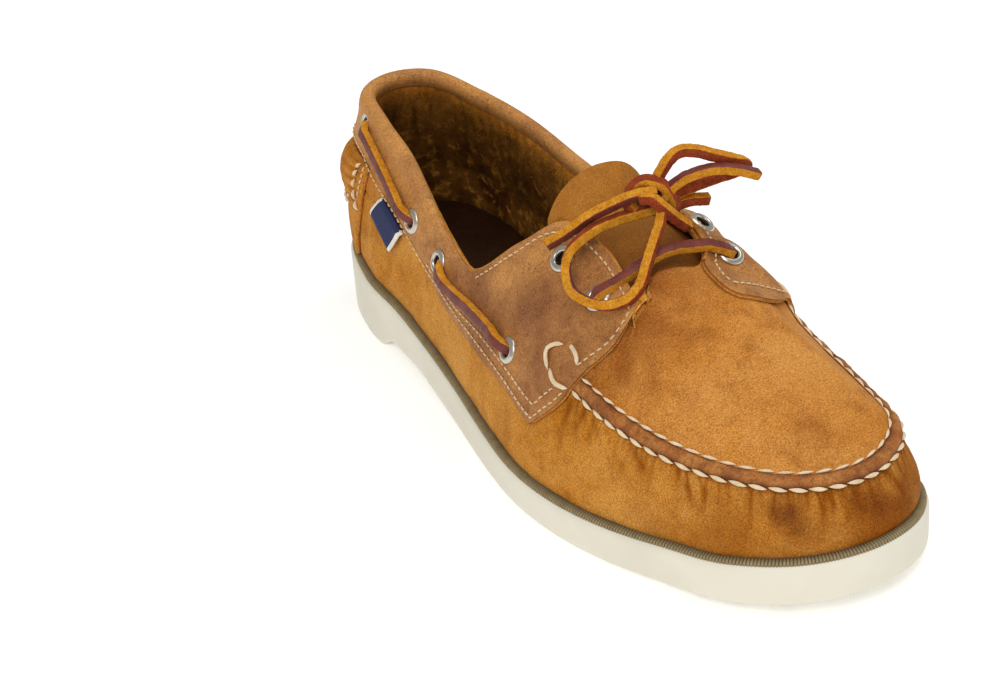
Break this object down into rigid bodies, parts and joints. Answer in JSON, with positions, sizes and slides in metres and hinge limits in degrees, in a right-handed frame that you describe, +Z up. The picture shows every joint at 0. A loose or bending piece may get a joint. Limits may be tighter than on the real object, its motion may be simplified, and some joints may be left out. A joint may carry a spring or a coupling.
{
  "type": "boat shoe",
  "caption": "Right moccasin boat shoe: laced leather upper with side lacing, gathered apron seam, arched tongue, padded collar and a flat rubber sole with a low heel.",
  "frame": {"origin": "middle of the shoe's box on the floor, lace knot and bow left out", "axes": "+X to the wearer's outer side of this right shoe, +Y towards the toe, +Z up from the floor"},
  "size_m": [0.1078, 0.3016, 0.116],
  "materials": {
    "sole_rubber": "matt moulded off-white rubber",
    "ribbed_rubber": "matt taupe rubber with fine cross ribs",
    "lining_leather": "dark brown footbed leather",
    "nubuck": "golden tan oiled nubuck",
    "quarter_leather": "brown pull-up leather, waxy and scuffed",
    "rawhide": "square cut rawhide lace, burgundy grain and golden cut sides",
    "eyelet_metal": "brushed nickel finish",
    "tag_cloth": "woven navy tape, left bare"
  },
  "bodies": {
    "root": {"outsole": "sole_rubber", "welt_strip": "ribbed_rubber", "insole": "lining_leather", "upper": "nubuck", "quarter_lateral": "quarter_leather", "quarter_medial": "quarter_leather", "tongue": "nubuck", "heel_kicker": "nubuck", "heel_counter": "nubuck", "side_tag": "tag_cloth", "lace_bar": "rawhide", "side_lace_lateral_rear": "rawhide", "side_lace_lateral_front": "rawhide", "side_lace_medial_rear": "rawhide", "side_lace_medial_front": "rawhide", "lace_knot": "rawhide", "lace_loop_outer": "rawhide", "lace_loop_inner": "rawhide", "lace_end_outer": "rawhide", "lace_end_inner": "rawhide", "eyelet_lateral_1": "eyelet_metal", "eyelet_lateral_2": "eyelet_metal", "eyelet_lateral_3": "eyelet_metal", "eyelet_lateral_4": "eyelet_metal", "eyelet_lateral_5": "eyelet_metal", "eyelet_lateral_6": "eyelet_metal", "eyelet_medial_1": "eyelet_metal", "eyelet_medial_2": "eyelet_metal", "eyelet_medial_3": "eyelet_metal", "eyelet_medial_4": "eyelet_metal", "eyelet_medial_5": "eyelet_metal", "eyelet_medial_6": "eyelet_metal"}
  },
  "joints": []
}
